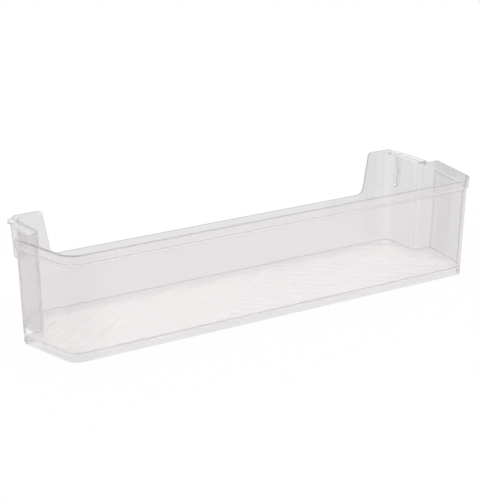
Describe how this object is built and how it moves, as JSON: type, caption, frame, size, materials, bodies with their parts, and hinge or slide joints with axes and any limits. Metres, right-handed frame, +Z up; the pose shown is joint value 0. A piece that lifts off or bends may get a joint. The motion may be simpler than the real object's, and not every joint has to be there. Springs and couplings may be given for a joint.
{
  "type": "refrigerator door bin",
  "caption": "Clear moulded door bin for a refrigerator: a long open tray with a low back wall, two ears, and a roofed lug channel at each end.",
  "frame": {"origin": "middle of the bin's box, on the surface that its foot stands on", "axes": "+X along the bin to the viewer's right, +Y from the front wall to the back wall, +Z up"},
  "size_m": [0.476, 0.1166, 0.101],
  "materials": {
    "clear_plastic": "clear, high gloss"
  },
  "bodies": {
    "root": {"door_bin": "clear_plastic"}
  },
  "joints": []
}
